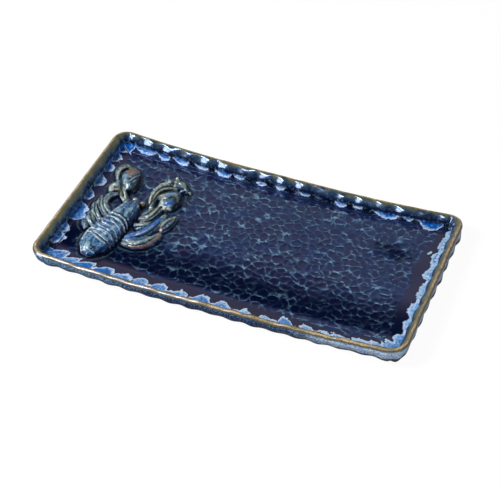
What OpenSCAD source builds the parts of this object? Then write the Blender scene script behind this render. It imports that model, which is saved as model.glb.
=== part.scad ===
// Rectangular stoneware tray with a lobster in relief
// A clay slab, four pinched rim strips and pressed-on lobster pieces, luted together and fired
// Length runs along X, the near long side is at -Y, and the tray stands on Z = 0

/* [Tray] */
// Length over the lip
tray_length = 381; // [320:1:460]
// Width over the lip
tray_width = 208.5; // [176:0.5:250]
// Height of the lip above the table, at the middle of the long sides
rim_height = 22; // [18:0.5:28]
// Thickness of the base slab
floor_thickness = 7.5; // [6:0.5:9]
// Corner radius of the lip, seen from above
corner_radius = 17; // [16:0.5:26]
// Rise of both ends above the middle, where the tray stands
end_rise = 7.75; // [0:0.25:12]
// Share of the length that lies flat on the table
flat_share = 0.2; // [0.15:0.01:0.4]

/* [Rim] */
// How far a rim strip reaches in from its lip to the slab's edge
rim_reach = 14.5; // [12.5:0.5:15]
// Width of the rounded lip
lip_width = 5.5; // [4:0.25:6.5]
// How far the outer foot stands in from the lip on the near side
near_foot_inset = 11; // [5:0.5:11.5]
// How far the outer foot stands in from the lip on the far side
far_foot_inset = 2.5; // [1:0.5:9]
// Clearance between the table and a rim strip
rim_lift = 2.25; // [0.5:0.25:3]
// Spacing of the finger pinches along the outside
pinch_spacing = 21; // [16:1:32]
// Depth of the finger pinches
pinch_depth = 2.2; // [0:0.1:2.4]
// Rise of the lip at two opposite corners, and its drop at the others
rim_twist = 1.6; // [0:0.1:2.5]

/* [Lobster] */
// Share of the floor's width that the lobster takes up
relief_share = 0.76; // [0.6:0.01:0.8]
// Height of the carapace above the floor
relief_height = 13; // [9:0.5:15]
// Distance from the left lip to the middle of the lobster's body
relief_inset = 55.2; // [54:0.1:80]
// Turn of the body away from the tray's width, clockwise
body_turn = 11.2; // [9:0.1:12]
// Half-width of the tail at its widest
tail_half_width = 16.2; // [14:0.1:16.4]
// Length of one band of the tail
tail_band = 5.5; // [5.2:0.1:5.6]
// Thickness of a walking leg at its middle
leg_height = 5; // [3:0.25:7]
// Thickness of a claw at its middle
claw_height = 10; // [7:0.25:12]
// Clearance between neighbouring pieces of the body
seam = 0.3; // [0.2:0.05:0.5]

/* [Hidden] */
corner_steps = 4;
station_step = 4.6;
arch_steps = 6;
// Share of the near foot's inset that is left out at the corners
corner_share = 0.5;
path_steps = 10;
// Angle at which an arched piece leaves its small upright edge
arch_start = 8;
// How squarely an arched section fills its outline
arch_power = 0.8;
// The lobster was laid out on a floor this wide
layout_floor = 179.5;
layout_share = 0.76;
layout_height = 13;
// How far that layout reaches to the left of the body's middle
left_reach = 35.5;
// Middle of the body, where carapace and tail meet, measured from the tray's middle line
body_y = -18.8;
head_end = 37.5;
tail_end = -54.5;
tail_bands = 6;
telson_front = -tail_bands * tail_band;
// How far the tail fan starts behind the last band
fan_step = 1;
// How far the seams across the body bow forward at the middle line
seam_bow = 1.5;
// Clearance between a pressed-on piece and the curved floor
seat = 0.02;

floor_width = tray_width - 2 * rim_reach;
relief_scale = min(
  floor_width * relief_share / (layout_floor * layout_share),
  (relief_inset - rim_reach) / left_reach
);
height_scale = relief_height / layout_height;
relief_x = relief_inset - tray_length / 2;

navy = [0.09, 0.12, 0.26];
tan_lip = [0.62, 0.52, 0.38];
slate_blue = [0.28, 0.38, 0.55];
cobalt = [0.16, 0.27, 0.58];
olive = [0.47, 0.46, 0.36];
cream = [0.85, 0.85, 0.78];

// Control points of a piece: [x, y, left half-width, right half-width, height] from the body's middle
arm_left_path = [
  [-5.6, 32, 2.8, 2.8, 5],
  [-10, 38.3, 3.8, 3.8, 7.5],
  [-15.2, 45.4, 3.4, 3.4, 6.5]
];
wrist_left_path = [
  [-20.4, 52, 4, 4, 5.5],
  [-23.2, 47.6, 5.6, 5.4, 8],
  [-25.6, 43, 5, 5, 7],
  [-26.8, 38.4, 3.2, 3.2, 5]
];
palm_left_path = [
  [-8.5, 48.8, 5.5, 5.5, 0.65 * claw_height],
  [-11.5, 56, 9.2, 7.8, 0.95 * claw_height],
  [-15, 66, 10.8, 9.4, claw_height],
  [-18.2, 75, 9, 8.6, 0.9 * claw_height],
  [-20, 82, 4, 5, 0.6 * claw_height]
];
finger_left_path = [
  [-25.6, 57, 2.2, 2.2, 0.45 * claw_height],
  [-29.7, 65, 3.4, 3.2, 0.6 * claw_height],
  [-31, 72, 3.6, 3.4, 0.65 * claw_height],
  [-29.4, 78.8, 3.4, 3.2, 0.6 * claw_height],
  [-23.8, 84.6, 2, 2, 0.4 * claw_height]
];
arm_right_path = [
  [18.4, 12.6, 3.6, 3.6, 5.5],
  [23.8, 17.5, 5.8, 5.8, 8],
  [27.6, 26, 6.4, 6.2, 9],
  [30, 35.5, 5, 5, 7]
];
palm_right_path = [
  [33.5, 37.6, 7.5, 5.5, 0.7 * claw_height],
  [34.5, 43.5, 11.6, 9.6, 0.95 * claw_height],
  [35.5, 52.5, 12.4, 10.8, claw_height],
  [37, 60, 10.8, 9, 0.9 * claw_height],
  [39, 67, 5.4, 4.6, 0.65 * claw_height]
];
finger_right_path = [
  [21.1, 35, 2.4, 2.4, 0.5 * claw_height],
  [18.2, 43.5, 3.2, 4, 0.65 * claw_height],
  [17.3, 52, 3.8, 4.6, 0.75 * claw_height],
  [19.4, 60.5, 4.7, 5.4, 0.85 * claw_height],
  [24.8, 69.4, 6.4, 5.4, 0.92 * claw_height],
  [32.5, 75.4, 7.4, 5.8, 0.9 * claw_height],
  [40, 75.8, 5.4, 4.6, 0.75 * claw_height],
  [47.8, 72, 2, 2, 0.45 * claw_height]
];
// Horns on the back of the right finger: [x, y, height]
finger_horns = [[26.8, 69.9, 12], [32.2, 76.3, 13]];
horn_base_radius = 3;
horn_tip_radius = 0.5;
// Height above the floor where a horn starts, inside the finger
horn_root = 3;
leg_left_paths = [
  [
    [-17.4, 39.6, 2, 2, 0.9 * leg_height],
    [-22.8, 33.8, 2.5, 2.5, 1.2 * leg_height],
    [-24.6, 28, 2.4, 2.4, 1.2 * leg_height],
    [-23.8, 22.2, 2.5, 2.5, 1.2 * leg_height],
    [-20.2, 17, 2.6, 2.6, 1.1 * leg_height],
    [-14.2, 11.8, 2.3, 2.3, leg_height]
  ],
  [
    [-30.8, 31, 1.8, 1.8, 0.7 * leg_height],
    [-30.2, 24.5, 2.3, 2.3, leg_height],
    [-27.2, 17, 2.4, 2.4, 1.1 * leg_height],
    [-22.2, 11, 2.7, 2.7, 1.1 * leg_height],
    [-16, 5, 2.2, 2.2, 0.9 * leg_height]
  ],
  [
    [-33, 18.4, 1.6, 1.6, 0.7 * leg_height],
    [-31.3, 11.8, 2.6, 2.6, leg_height],
    [-26.8, 5.4, 3, 3, 1.1 * leg_height],
    [-22.6, 0.6, 2.8, 2.8, leg_height],
    [-18, -4, 2, 2, 0.9 * leg_height]
  ],
  [
    [-32.2, 3.6, 2, 2, 0.7 * leg_height],
    [-29.5, -2.8, 3.1, 3.1, leg_height],
    [-25.4, -7.8, 3.2, 3.2, leg_height],
    [-21, -11.6, 2.2, 2.2, 0.8 * leg_height]
  ]
];
leg_left_tip_path = [
  [-32.4, -8.4, 1.8, 1.8, 0.6 * leg_height],
  [-29.4, -14.6, 2.8, 2.8, 0.8 * leg_height],
  [-24.8, -18.6, 2, 2, 0.7 * leg_height]
];
leg_right_paths = [
  [
    [16.6, 5.4, 2.4, 2.4, 0.8 * leg_height],
    [21.5, 3, 3.1, 3.1, leg_height],
    [26.4, 5.6, 3.1, 3.1, leg_height],
    [29.6, 11.8, 2.4, 2.4, 0.8 * leg_height]
  ],
  [
    [15.6, -15, 2.6, 2.6, 0.8 * leg_height],
    [22.2, -12.4, 3.6, 3.6, 1.1 * leg_height],
    [28.4, -7.1, 4, 4, 1.2 * leg_height],
    [33.4, 1.2, 4, 4, 1.2 * leg_height],
    [36.7, 12, 4, 4, 1.1 * leg_height],
    [38.6, 22, 3.6, 3.6, leg_height],
    [39.4, 32, 2.3, 2.3, 0.7 * leg_height]
  ],
  [
    [15.5, -20, 1.7, 1.7, 0.7 * leg_height],
    [20.5, -19.8, 2.2, 2.2, 0.9 * leg_height],
    [26.6, -18, 2.6, 2.6, leg_height],
    [32.5, -13.1, 2.7, 2.7, leg_height],
    [37.2, -5.3, 2, 2, 0.7 * leg_height]
  ],
  [
    [16.5, -24, 1.4, 1.4, 0.7 * leg_height],
    [23, -24.5, 1.7, 1.7, 0.8 * leg_height],
    [30.1, -23, 2.4, 2.5, 0.9 * leg_height],
    [36.9, -17.9, 3.2, 3.4, leg_height],
    [42.5, -10.1, 4, 4.2, leg_height],
    [45.2, -2, 3.6, 3.8, 0.9 * leg_height],
    [45, 3.8, 2.2, 2.2, 0.6 * leg_height]
  ]
];
leg_right_tip_path = [
  [45, 6.4, 3, 3, 0.8 * leg_height],
  [46.3, 14, 4.4, 4.2, leg_height],
  [48.1, 22.5, 4.4, 4.2, leg_height],
  [50.3, 31.5, 2.6, 2.6, 0.6 * leg_height]
];
// Rings of the carapace: [distance from the seam, swell of the section]
carapace_rings = [
  [seam / 2, 0.95],
  [0.9, 1.02],
  [2.2, 1.04],
  [3.4, 0.97],
  [7, 1],
  [12, 1.02],
  [15, 0.97],
  [19, 1.01],
  [25, 1],
  [30, 1],
  [33, 1],
  [35.2, 1],
  [head_end, 1]
];
telson_rings = [
  [telson_front - fan_step, 0.95],
  [telson_front - fan_step - 1.2, 1],
  [-40, 1.01],
  [-46, 1],
  [-51, 0.98],
  [tail_end, 0.95]
];
// Angle on the tail's arch where the telson meets a uropod, and half the gap there
fan_angle = 52;
fan_gap = 1.7;
// Where the eyes stand: along and across the body
eye_place = [36.8, 4.6];
eye_radius = 2.1;
eye_stalk = 4;

// Corner arc of an outline set in from the lip, seen in the frame of the front side
function corner_point(side, inset, angle) =
  let (radius = corner_radius - inset)
  [
    side[0] / 2 - corner_radius + radius * sin(angle),
    -side[1] / 2 + corner_radius - radius * cos(angle)
  ];

// The four sides in turn: [length, depth of the tray behind it]
function side_size(turn) = turn % 2 == 0 ? [tray_length, tray_width] : [tray_width, tray_length];

function turned(point, turn) =
  [
    point[0] * cos(90 * turn) - point[1] * sin(90 * turn),
    point[0] * sin(90 * turn) + point[1] * cos(90 * turn)
  ];

// Slab outline, corner by corner
function slab_outline() =
  [
    for (turn = [0:3], step = [0:2 * corner_steps])
      turned(corner_point(side_size(turn), rim_reach, 45 * step / corner_steps), turn)
  ];

// Stations along one rim strip: [distance along the side, angle round the corner]
function strip_stations(side) =
  let (
    half = side[0] / 2 - corner_radius,
    count = round(2 * half / station_step)
  )
  concat(
    [for (step = [-corner_steps:-1]) [-half, 45 * step / corner_steps]],
    [for (step = [0:count]) [half * (2 * step / count - 1), 0]],
    [for (step = [1:corner_steps]) [half, 45 * step / corner_steps]]
  );

// Rise of the tray towards its ends, at a distance from the middle
function rise_at(x) =
  end_rise * pow(max(0, abs(2 * x / tray_length) - flat_share) / (1 - flat_share), 2);

// Wall section: [inset from the lip, height, share of the pinch]
function wall_section(foot) =
  let (
    wall = rim_height - floor_thickness,
    cove = lip_width + 3.5
  )
  [
    [rim_reach, floor_thickness, 0],
    [(rim_reach + cove) / 2, floor_thickness + 0.1, 0],
    [cove, floor_thickness + 0.8, -0.2],
    [cove - 1, floor_thickness + 2.6, -0.4],
    [lip_width + 2.5, floor_thickness + 0.5 * wall, -0.6],
    [lip_width + 1.8, rim_height - 3.4, -0.8],
    [lip_width - 0.8, rim_height - 0.7, -0.15],
    [lip_width / 2, rim_height, 0],
    [0.9, rim_height - 0.9, 0.05],
    [0, rim_height - 3, 0.1],
    [0.8, rim_height - 6, 0.3],
    [0.55 * foot, 0.5 * floor_thickness + 3.5, 0.8],
    [foot - 0.6, rim_lift + 2.2, 1],
    [foot + 0.8, rim_lift, 0.9],
    [rim_reach, rim_lift, 0]
  ];

// Inset of the outer foot: greater towards the near side, less at the corners
function foot_at(lip) =
  let (
    near = pow(0.5 - lip[1] / tray_width, 2),
    corner = pow(2 * lip[0] / tray_length, 8)
  )
  far_foot_inset + (near_foot_inset - far_foot_inset) * near * (1 - corner_share * corner);

// One section of a rim strip, bulged between pinches, twisted at the lip and swept up with the ends
function strip_ring(turn, station, share) =
  let (
    side = side_size(turn),
    angle = station[1],
    pinches = round(side[0] / pinch_spacing),
    bulge = pinch_depth * (0.5 + 0.5 * cos(360 * pinches * share)),
    base_x = station[0] + corner_radius * sin(angle),
    base_y = corner_radius * (1 - cos(angle)) - side[1] / 2,
    lip = turned([base_x, base_y], turn),
    lean = -rim_twist * (2 * lip[0] / tray_length) * (2 * lip[1] / tray_width)
  )
  [
    for (p = wall_section(foot_at(lip)))
      let (
        inset = p[0] - bulge * p[2],
        climb = max(0, p[1] - floor_thickness) / (rim_height - floor_thickness),
        place = turned([base_x - inset * sin(angle), base_y + inset * cos(angle)], turn)
      )
      [place[0], place[1], p[1] + lean * climb + rise_at(place[0])]
  ];

// Closed skin over rings that have the same number of points
module skin(rings, capped = true) {
  size = len(rings[0]);
  last = (len(rings) - 1) * size;
  walls = [
    for (i = [0:len(rings) - 2], j = [0:size - 1])
      let (a = i * size + j, b = i * size + (j + 1) % size)
      each [[a, b + size, b], [a, a + size, b + size]]
  ];
  flat_caps = [[for (j = [0:size - 1]) j], [for (j = [size - 1:-1:0]) last + j]];
  fan_caps = [
    for (j = [0:size - 3])
      each [[size - 1, j, j + 1], [last + size - 1, last + j + 1, last + j]]
  ];
  polyhedron(
    points = [for (ring = rings) each ring],
    faces = concat(walls, capped ? flat_caps : fan_caps),
    convexity = 6
  );
}

module rim_strip(turn) {
  stations = strip_stations(side_size(turn));
  count = len(stations) - 1;
  skin([for (i = [0:count]) strip_ring(turn, stations[i], i / count)]);
}

// Arched section from one base edge over to the other, with the middle of the base last
function arch(left, right, height, start = arch_start, stop = 180 - arch_start) =
  let (
    top = [
      for (step = [0:arch_steps])
        let (
          angle = start + (stop - start) * step / arch_steps,
          reach = -cos(angle)
        )
        [reach * (reach < 0 ? left : right), height * pow(sin(angle), arch_power), angle]
    ],
    first = top[0],
    last = top[arch_steps]
  )
  concat(
    [[first[0], 0, first[2]]],
    top,
    [[last[0], 0, last[2]], [(first[0] + last[0]) / 2, 0, (start + stop) / 2]]
  );

// Smooth curve through control points
function curve_at(points, u) =
  let (
    last = len(points) - 1,
    k = min(floor(u * last), last - 1),
    f = u * last - k,
    a = points[max(k - 1, 0)],
    b = points[k],
    c = points[k + 1],
    d = points[min(k + 2, last)]
  )
  b + 0.5 * f * (c - a + f * (2 * a - 5 * b + 4 * c - d + f * (3 * b - a - 3 * c + d)));

// One ring of a rolled piece laid along a path, drawn in at both ends
function roll_ring(path, step) =
  let (
    turn = 180 * step / path_steps,
    u = (1 - cos(turn)) / 2,
    here = curve_at(path, u),
    ahead = curve_at(path, min(1, u + 0.01)),
    behind = curve_at(path, max(0, u - 0.01)),
    run = [ahead[0] - behind[0], ahead[1] - behind[1]] / norm([ahead[0] - behind[0], ahead[1] - behind[1]]),
    swell = max(0.4, sqrt(sin(turn)))
  )
  [
    for (p = arch(here[2] * swell, here[3] * swell, here[4] * swell))
      [here[0] + p[0] * run[1], here[1] - p[0] * run[0], p[1]]
  ];

module on_floor() {
  translate([relief_x, body_y * relief_scale, floor_thickness + seat])
    children();
}

// A ring at its final size, lifted with the floor under it
function sized(ring) =
  [
    for (p = ring)
      let (x = p[0] * relief_scale)
      [x, p[1] * relief_scale, p[2] * height_scale + rise_at(relief_x + x)]
  ];

module roll(path) {
  on_floor()
    skin([for (step = [0:path_steps]) sized(roll_ring(path, step))], capped = false);
}

// Half-width of the body along its length
function body_half_width(along) =
  tail_half_width * lookup(along, [
    [tail_end, 0.25], [-52.5, 0.42], [-48, 0.66], [-43.5, 0.82], [-38, 0.93], [-30, 0.99], [-22, 1],
    [-12, 0.93], [0, 0.81], [8, 0.77], [16, 0.71], [24, 0.58], [30, 0.42], [34, 0.24], [head_end, 0.07]
  ]);

// Height of the body along its length
function body_height(along) =
  layout_height * lookup(along, [
    [tail_end, 0.36], [-51, 0.6], [-46, 0.74], [-36, 0.88], [-18, 0.96],
    [0, 1], [14, 0.95], [24, 0.84], [32, 0.68], [head_end, 0.5]
  ]);

// A seam bows forward at the middle line, less so towards both ends of the body
function bow_at(along) = seam_bow * (1 - abs(along) / 60);

function body_point(along, across, up) =
  [
    along * sin(body_turn) + across * cos(body_turn),
    along * cos(body_turn) - across * sin(body_turn),
    up
  ];

// One ring across the body, between two angles of its arch
function body_ring(along, swell, start = arch_start, stop = 180 - arch_start) =
  let (width = swell * body_half_width(along))
  [
    for (p = arch(width, width, swell * body_height(along), start, stop))
      body_point(along - bow_at(along) * pow(cos(p[2]), 2), p[0], p[1])
  ];

module body_piece(rings, start = arch_start, stop = 180 - arch_start) {
  on_floor()
    skin([for (r = rings) sized(body_ring(r[0], r[1], start, stop))], capped = false);
}

// Side view of the slab: flat in the middle, swept up towards both ends
function slab_profile() =
  let (
    half = tray_length / 2,
    steps = round(half / station_step),
    along = [for (i = [-steps:steps]) half * i / steps]
  )
  concat(
    [for (x = along) [x, rise_at(x)]],
    [for (i = [2 * steps:-1:0]) [along[i], rise_at(along[i]) + floor_thickness]]
  );

module base_slab() {
  color(navy)
    intersection() {
      linear_extrude(height = floor_thickness + end_rise)
        polygon(slab_outline());
      rotate([90, 0, 0])
        linear_extrude(height = tray_width, center = true)
          polygon(slab_profile());
    }
}

module rim(turn) {
  color(tan_lip)
    rim_strip(turn);
}

module carapace() {
  color(slate_blue)
    body_piece(carapace_rings);
}

// A tail band swells behind its front edge and ends in a raised rear edge
module tail_segment(number) {
  front = -(number - 1) * tail_band - seam / 2;
  rear = -number * tail_band + seam / 2;
  color(slate_blue)
    body_piece([
      [rear, 0.95],
      [rear + 0.7, 1.02],
      [rear + 0.45 * tail_band, 1],
      [front - 0.8, 0.985],
      [front, 0.95]
    ]);
}

module telson() {
  color(slate_blue)
    body_piece([for (i = [len(telson_rings) - 1:-1:0]) telson_rings[i]], fan_angle, 180 - fan_angle);
}

// The lobe beside the telson, on the left for side = -1 and on the right for side = 1
module uropod(side) {
  inner = fan_angle - 2 * fan_gap;
  color(slate_blue)
    body_piece(
      [for (i = [len(telson_rings) - 1:-1:0]) telson_rings[i]],
      side < 0 ? arch_start : 180 - inner,
      side < 0 ? inner : 180 - arch_start
    );
}

module eye(side) {
  place = body_point(eye_place[0], side * eye_place[1], 0) * relief_scale;
  lift = rise_at(relief_x + place[0] - eye_radius);
  color(cream)
    on_floor()
      translate([place[0], place[1], lift]) {
        cylinder(r = eye_radius - 0.3, h = eye_stalk, $fn = 32);
        translate([0, 0, eye_stalk])
          sphere(r = eye_radius, $fn = 32);
      }
}

module claw_piece(path) {
  color(olive)
    roll(path);
}

module finger_horn(horn) {
  x = horn[0] * relief_scale;
  on_floor()
    translate([x, horn[1] * relief_scale, horn_root + rise_at(relief_x + x)])
      cylinder(
        r1 = horn_base_radius,
        r2 = horn_tip_radius,
        h = horn[2] * height_scale - horn_root,
        $fn = 20
      );
}

module finger_right() {
  claw_piece(finger_right_path);
  color(olive)
    for (horn = finger_horns)
      finger_horn(horn);
}

module leg(path) {
  color(cobalt)
    roll(path);
}

base_slab();
rim(0);  // rim_front
rim(1);  // rim_right
rim(2);  // rim_back
rim(3);  // rim_left
carapace();
tail_segment(1);  // tail_segment_1
tail_segment(2);  // tail_segment_2
tail_segment(3);  // tail_segment_3
tail_segment(4);  // tail_segment_4
tail_segment(5);  // tail_segment_5
tail_segment(6);  // tail_segment_6
telson();
uropod(-1);  // uropod_left
uropod(1);  // uropod_right
eye(-1);  // eye_left
eye(1);  // eye_right
claw_piece(arm_left_path);  // arm_left
claw_piece(wrist_left_path);  // wrist_left
claw_piece(palm_left_path);  // palm_left
claw_piece(finger_left_path);  // finger_left
claw_piece(arm_right_path);  // arm_right
claw_piece(palm_right_path);  // palm_right
finger_right();
leg(leg_left_paths[0]);  // leg_left_1
leg(leg_left_paths[1]);  // leg_left_2
leg(leg_left_paths[2]);  // leg_left_3
leg(leg_left_paths[3]);  // leg_left_4
leg(leg_left_tip_path);  // leg_left_4_tip
leg(leg_right_paths[0]);  // leg_right_1
leg(leg_right_paths[1]);  // leg_right_2
leg(leg_right_paths[2]);  // leg_right_3
leg(leg_right_paths[3]);  // leg_right_4
leg(leg_right_tip_path);  // leg_right_4_tip
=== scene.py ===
"""Stoneware tray with a lobster in relief: glazed clay pieces, studio and camera."""

import math

import bmesh
import bpy
import numpy as np
from mathutils import Matrix, Vector, kdtree, noise


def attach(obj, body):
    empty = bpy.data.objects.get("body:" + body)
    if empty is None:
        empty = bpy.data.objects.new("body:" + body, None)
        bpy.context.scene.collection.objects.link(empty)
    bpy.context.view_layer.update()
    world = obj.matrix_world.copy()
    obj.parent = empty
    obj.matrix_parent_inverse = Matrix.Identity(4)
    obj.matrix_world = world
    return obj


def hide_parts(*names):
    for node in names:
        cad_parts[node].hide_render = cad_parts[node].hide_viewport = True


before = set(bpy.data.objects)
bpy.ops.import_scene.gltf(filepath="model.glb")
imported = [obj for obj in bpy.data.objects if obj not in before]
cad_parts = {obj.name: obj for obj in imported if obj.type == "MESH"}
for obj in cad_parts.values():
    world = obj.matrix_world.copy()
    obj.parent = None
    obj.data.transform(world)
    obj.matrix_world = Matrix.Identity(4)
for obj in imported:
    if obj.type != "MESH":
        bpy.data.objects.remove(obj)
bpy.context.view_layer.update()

MM = 0.001
BODY = "root"

# Tray sizes, as in the CAD source
TRAY_LENGTH = 381 * MM
TRAY_WIDTH = 208.5 * MM
RIM_HEIGHT = 22 * MM
FLOOR_THICKNESS = 7.5 * MM
CORNER_RADIUS = 17 * MM
END_RISE = 7.75 * MM
FLAT_SHARE = 0.2
RIM_REACH = 14.5 * MM
LIP_WIDTH = 5.5 * MM
NEAR_FOOT_INSET = 11 * MM
FAR_FOOT_INSET = 2.5 * MM
CORNER_SHARE = 0.5
RIM_LIFT = 2.25 * MM
RIM_TWIST = 1.6 * MM
PINCH_SPACING = 21 * MM
PINCH_DEPTH = 2.2 * MM
RIM_STEP = 4.6 * MM
RIM_CORNER_STEPS = 4

# Mesh density of the tray
STATION_STEP = 1.0 * MM
CORNER_STEPS = 22
WALL_STEPS = 4
FLOOR_STEP = 0.95 * MM
UNDERSIDE_RINGS = 8
INNER_RADIUS = 2.5 * MM
# Unevenness of the hand-smoothed lip: its height, its waves (turns round the rim, share and phase), and how
# far it sways sideways with them
LIP_WAVER = 0.22 * MM
LIP_WAVES = [(23, 1, 0), (41, 0.7, 2), (67, 0.5, 4)]
LIP_SWAY = 0.6
# Unevenness of the pinches: share of their depth, and the waves that make it
PINCH_UNEVEN = 0.2
PINCH_WAVES = [(17, 1, 1)]
# Points closer than this are welded
WELD_GAP = 0.001 * MM

# Hammer marks on the floor
MARK_SPACING = 9.6 * MM
MARK_JITTER = 0.23
MARK_RADIUS = 5.7 * MM
MARK_DEPTH = 0.07 * MM
RIDGE_HEIGHT = 0.05 * MM
RIDGE_WIDTH = 0.9 * MM
SMOOTH_FADE = 5 * MM
MARK_SEED = 4
MARK_SQUASH = 0.86
MARK_ROW_STEP = MARK_SPACING * MARK_SQUASH * math.sqrt(3) / 2
MARK_ROWS = round(TRAY_WIDTH / MARK_ROW_STEP) + 1
MARK_COLUMNS = round(TRAY_LENGTH / MARK_SPACING) + 1
MARK_COUNT = MARK_ROWS * MARK_COLUMNS
# Radius of the dish that a mark makes, and of its middle, in which no direction counts
DISH_RADIUS = 0.58 * MARK_SPACING
DISH_MIDDLE = 0.1 * MM
# Share of the marks' depth that is left beside the lobster, and how far from it they are shallower
RELIEF_MARKS = 0.4
RELIEF_FADE = 6 * MM
# Shallow gutter along the front of the floor: its depth, where its inner slope starts and ends, how the slope
# bends, and the width of the bottom
GUTTER_DEPTH = 1.7 * MM
GUTTER_START = -14 * MM
GUTTER_END = -67 * MM
GUTTER_BEND = 1.5
GUTTER_BOTTOM = 3 * MM
# Sags of the slab: plan place, radius and depth
SAGS = [(140 * MM, 30 * MM, 20 * MM, 1.4 * MM)]
# Painted shade on the floor, as it shows in the photograph: dark spots beside the claws and a patch at the
# right; place and radius in pixels
PAINTED_SHADE_SPOTS = [
    (141.5, 180, 2.6), (142.5, 185, 2.6), (141, 190, 2.6),
    (187.5, 196, 2.8), (188, 201.5, 3), (186.5, 207, 3), (182, 212, 2.8),
    (377, 244, 5), (385, 248, 6), (394, 252, 6.5), (403, 256, 6.5), (411, 258, 5.5), (399, 262, 5),
]
# Bending of the ridges between the marks
MARK_BEND = 3.2 * MM
MARK_BEND_SIZE = 8 * MM
# Height in the noise at which the bend along the tray and the bend across it are read
MARK_BEND_LAYERS = (0, 100 * MM)

# Drips of glaze at the foot of the wall, side by side as they hang in the photograph, in millimetres:
# place along the side, half-width, how far the tip is from the lip, share of cobalt in the middle
DRIPS = {
    "front": [
        (-178, 12, 38, 0.8), (-158, 8, 34, 0.4), (-143, 9, 35, 1), (-122, 10, 36, 1), (-102, 11, 34, 0.5),
        (-83, 9, 36.5, 0.5), (-62, 9, 36.5, 0.6), (-39, 9, 35, 0.2), (-16, 10, 37.5, 0.7), (6, 9, 35.5, 0.4),
        (30, 7, 34, 0), (51, 7, 33, 0), (72, 8, 38, 0.7), (94, 9, 35, 0.1), (111, 8, 33.5, 0.1),
        (128, 13, 33, 0), (150, 13, 34.5, 0.1), (165, 8, 35.5, 0.5), (180, 13, 38, 0.3),
    ],
    "right": [
        (-91, 14, 38, 0.3), (-72, 9, 31, 0.4), (-50, 10, 27, 0), (-30, 12, 28, 0), (-4, 13, 26, 0),
        (23, 10, 28, 0), (47, 11, 28, 0), (68, 9, 26, 0),
    ],
    "back": [
        (157, 14, 25, 1), (133, 7, 18, 0.7), (110, 16, 21, 1), (80, 7, 17, 0.6),
        (62, 8, 19.5, 0.8), (22, 8, 18, 0.7), (-4, 7, 18, 0.7), (-50, 8, 18, 0.8), (-68, 11, 21, 1),
        (-92, 10, 19, 0.8), (-116, 11, 21, 0.8), (-136, 9, 22, 1), (-157, 16, 22, 0.8), (-178, 10, 29, 1),
    ],
    "left": [
        (90, 10, 27, 1), (73, 11, 26, 0.9), (55, 9, 26, 0.8), (32, 12, 27, 0.6), (8, 10, 26, 0.7),
        (-17, 14, 29, 0.9), (-25, 8, 33, 0.8), (-47, 9, 25, 0.7), (-62, 11, 26, 0.7), (-91, 14, 37, 0.7),
    ],
}
SIDES = ["front", "right", "back", "left"]
# How the drips hang on each side: how far a tip leans along it, how thinly a drip tails off on the other
# hand, how far from the lip it starts, and how far the glaze has run between the drips
DRIP_HANG = {
    "front": (-0.15, 0.65, 25, 28.8),
    "right": (0.15, 0.6, 21, 23.5),
    "back": (0.15, 0.6, 9, 6),
    "left": (0.15, 0.6, 11, 10),
}
# How round a drip is on the hand to which it leans
DRIP_ROUND = 0.6
# Lone drops: side, place along it, distance from the lip, half-width, half-length, share of cobalt
DROPS = [("back", -25, 15, 6, 3, 0.6), ("right", 59, 30, 3, 2, 0)]
# How steep a drop's edge is, and how many half-widths its values reach
DROP_STEEPNESS = 2.5
DROP_REACH = 1.5
# Width of the smooth band between the wall and the hammer marks, at the left or front end of each side and at
# its other end
SMOOTH_BAND = {"front": (22, 9), "right": (7, 16), "back": (-4, -4), "left": (6, 6)}
# How far the marks stray into that band, and over what length
BAND_WAVER = 6 * MM
BAND_WAVE = 22 * MM

# Clay pressed up against the lobster, and the distance from the wall over which it rises
FILLET_HEIGHT = 1.0 * MM
FILLET_REACH = 1.9 * MM
FLANGE_HEIGHT = 0.3 * MM
FLANGE_GAP = 3.2 * MM
FLANGE_WIDTH = 0.8 * MM
FILLET_FADE = 4 * MM

# Softening of the lobster's pieces
CLAY_VOXEL = 0.5 * MM
SOFTEN_FACTOR = 0.5
SOFTEN_PASSES = 5
CLAY_FULLNESS = 0.5 * MM
LIMB_FULLNESS = 1.15 * MM
CLAY_UNEVEN = 0.55 * MM
CLAY_LUMP = 4.5 * MM
CLAY_SINK = 0.6 * MM
# Heights above the floor up to which a piece is pressed in, and up to which it counts for the outline
CLAY_FOOT = 1.0 * MM
OUTLINE_HEIGHT = 1.2 * MM

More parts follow.
